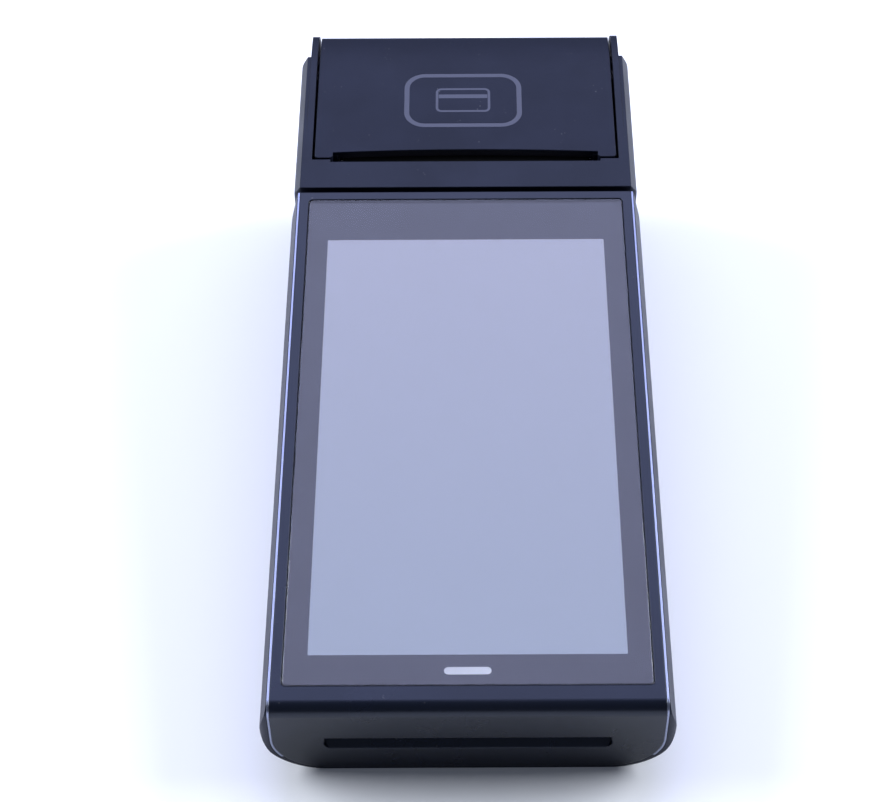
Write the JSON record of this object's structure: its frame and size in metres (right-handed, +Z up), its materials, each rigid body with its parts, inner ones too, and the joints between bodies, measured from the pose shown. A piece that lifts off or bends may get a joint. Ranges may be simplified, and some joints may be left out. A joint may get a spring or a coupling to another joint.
{
  "type": "card payment terminal",
  "caption": "Hand-held card payment terminal: touch screen over a chip card slot, a swipe slot across the case, and a receipt printer under a hinged paper cover.",
  "frame": {"origin": "centre of the bounding box at the bottom, on the surface the feet stand on", "axes": "+X to the right, +Y from the chip card end to the printer end along the table, +Z up; the screen rises 9.9 degrees towards the printer"},
  "size_m": [0.0812, 0.1985, 0.0532],
  "materials": {
    "housing_black": "fine-grained moulded plastic, satin",
    "bezel_black": "satin moulded plastic",
    "cover_glass": "polished touch glass with a black printed border",
    "lcd": "lit display panel, pale blank screen",
    "trim_metal": "bright chamfered edge",
    "adhesive_black": "thin foam adhesive",
    "flex_amber": "polyimide flexible circuit",
    "magnesium": "die-cast, bead blasted",
    "print_grey": "printed grey mark",
    "copper_foil": "etched coil",
    "steel": "ground steel",
    "spring_steel": "drawn spring wire",
    "rubber_black": "soft rubber",
    "acetal_white": "natural acetal",
    "acetal_black": "black acetal",
    "motor_can": "plated steel can",
    "head_ceramic": "glazed ceramic strip",
    "sink_aluminium": "extruded aluminium",
    "paper": "thermal receipt paper",
    "core_card": "wound card tube",
    "pcb_green": "solder mask on glass fibre board",
    "tin_plate": "tin plated sheet",
    "gold_contact": "gold plated contact",
    "cell_steel": "nickel plated cell",
    "battery_wrap": "plain wrapped pack"
  },
  "bodies": {
    "case": {"front_bezel": "bezel_black", "touch_glass": "cover_glass", "lcd_panel": "lcd", "display_gasket": "adhesive_black", "display_flex": "flex_amber", "side_trim_strips": "trim_metal", "inner_chassis": "magnesium", "lower_case": "housing_black", "printer_housing": "housing_black", "tear_bar": "housing_black", "cover_hinge_pin": "steel", "cover_hinge_spring": "spring_steel", "gear_stud": "steel", "stepper_motor": "motor_can", "printer_frame": "acetal_black", "thermal_head": "head_ceramic", "head_heat_sink": "sink_aluminium", "head_springs": "spring_steel", "paper_bucket": "acetal_black", "main_board": "pcb_green", "board_screws": "steel", "board_shields": "tin_plate", "board_connectors": "acetal_white", "backup_cell": "cell_steel", "card_reader_frame": "acetal_black", "card_reader_contacts": "gold_contact", "magstripe_spring": "spring_steel", "battery_pack": "battery_wrap", "battery_contacts": "acetal_black", "button_switches": "acetal_black", "usb_port": "tin_plate", "speaker": "acetal_black", "charging_contacts": "gold_contact", "case_screws": "steel", "printer_screws": "steel", "front_feet": "rubber_black", "rear_feet": "rubber_black"},
    "cover": {"paper_cover": "housing_black", "cover_print": "print_grey", "nfc_antenna": "copper_foil", "platen_bushes": "acetal_white"},
    "platen": {"platen_roller": "rubber_black", "platen_shaft": "steel", "platen_gear": "acetal_black"},
    "reduction": {"reduction_gear": "acetal_white"},
    "motor_rotor": {"motor_pinion": "steel"},
    "roll": {"paper_roll": "paper", "paper_core": "core_card"},
    "power_key": {"power_button": "bezel_black"},
    "volume_up_key": {"volume_up_button": "bezel_black"},
    "volume_down_key": {"volume_down_button": "bezel_black"},
    "battery_door": {"battery_cover": "housing_black", "latch_springs": "spring_steel"},
    "latch": {"battery_latch": "housing_black"},
    "stripe_head": {"magstripe_head": "steel"}
  },
  "joints": [
    {"name": "cover_hinge", "type": "hinge", "parent": "case", "child": "cover", "pos_m": [0, 0.09621, 0.04117], "axis": [-1, 0, 0], "range_deg": [0, 95], "deforming": ["cover_hinge_spring"]},
    {"name": "platen_spin", "type": "hinge", "parent": "cover", "child": "platen", "pos_m": [0, 0.05402, 0.04041], "axis": [1, 0, 0], "continuous": true},
    {"name": "gear_spin", "type": "hinge", "parent": "case", "child": "reduction", "pos_m": [0, 0.05557, 0.03154], "axis": [1, 0, 0], "continuous": true},
    {"name": "motor_spin", "type": "hinge", "parent": "case", "child": "motor_rotor", "pos_m": [0, 0.04758, 0.02784], "axis": [1, 0, 0], "continuous": true},
    {"name": "roll_spin", "type": "hinge", "parent": "case", "child": "roll", "pos_m": [0, 0.07559, 0.02003], "axis": [1, 0, 0], "continuous": true},
    {"name": "power_press", "type": "slide", "parent": "case", "child": "power_key", "axis": [-1, 0, 0], "range_m": [0, 0.0004], "stiffness_N_per_m": 2500, "springref_m": -0.0002},
    {"name": "volume_up_press", "type": "slide", "parent": "case", "child": "volume_up_key", "axis": [1, 0, 0], "range_m": [0, 0.0004], "stiffness_N_per_m": 2500, "springref_m": -0.0002},
    {"name": "volume_down_press", "type": "slide", "parent": "case", "child": "volume_down_key", "axis": [1, 0, 0], "range_m": [0, 0.0004], "stiffness_N_per_m": 2500, "springref_m": -0.0002},
    {"name": "battery_door_hinge", "type": "hinge", "parent": "case", "child": "battery_door", "pos_m": [0, -0.04539, 0.00763], "axis": [-1, 0, 0], "range_deg": [0, 13]},
    {"name": "battery_latch_slide", "type": "slide", "parent": "battery_door", "child": "latch", "axis": [0, -0.9911, -0.1331], "range_m": [0, 0.0014], "stiffness_N_per_m": 300, "springref_m": -0.0005, "deforming": ["latch_springs"]},
    {"name": "stripe_head_slide", "type": "slide", "parent": "case", "child": "stripe_head", "axis": [0, -0.9851, -0.1719], "range_m": [0, 0.0005], "stiffness_N_per_m": 1200, "springref_m": -0.0002, "deforming": ["magstripe_spring"]}
  ],
  "couplings": [
    {"joint": "gear_spin", "follows": "platen_spin", "ratio": -0.8},
    {"joint": "motor_spin", "follows": "platen_spin", "ratio": 2.72},
    {"joint": "roll_spin", "follows": "platen_spin", "ratio": 0.2875}
  ]
}
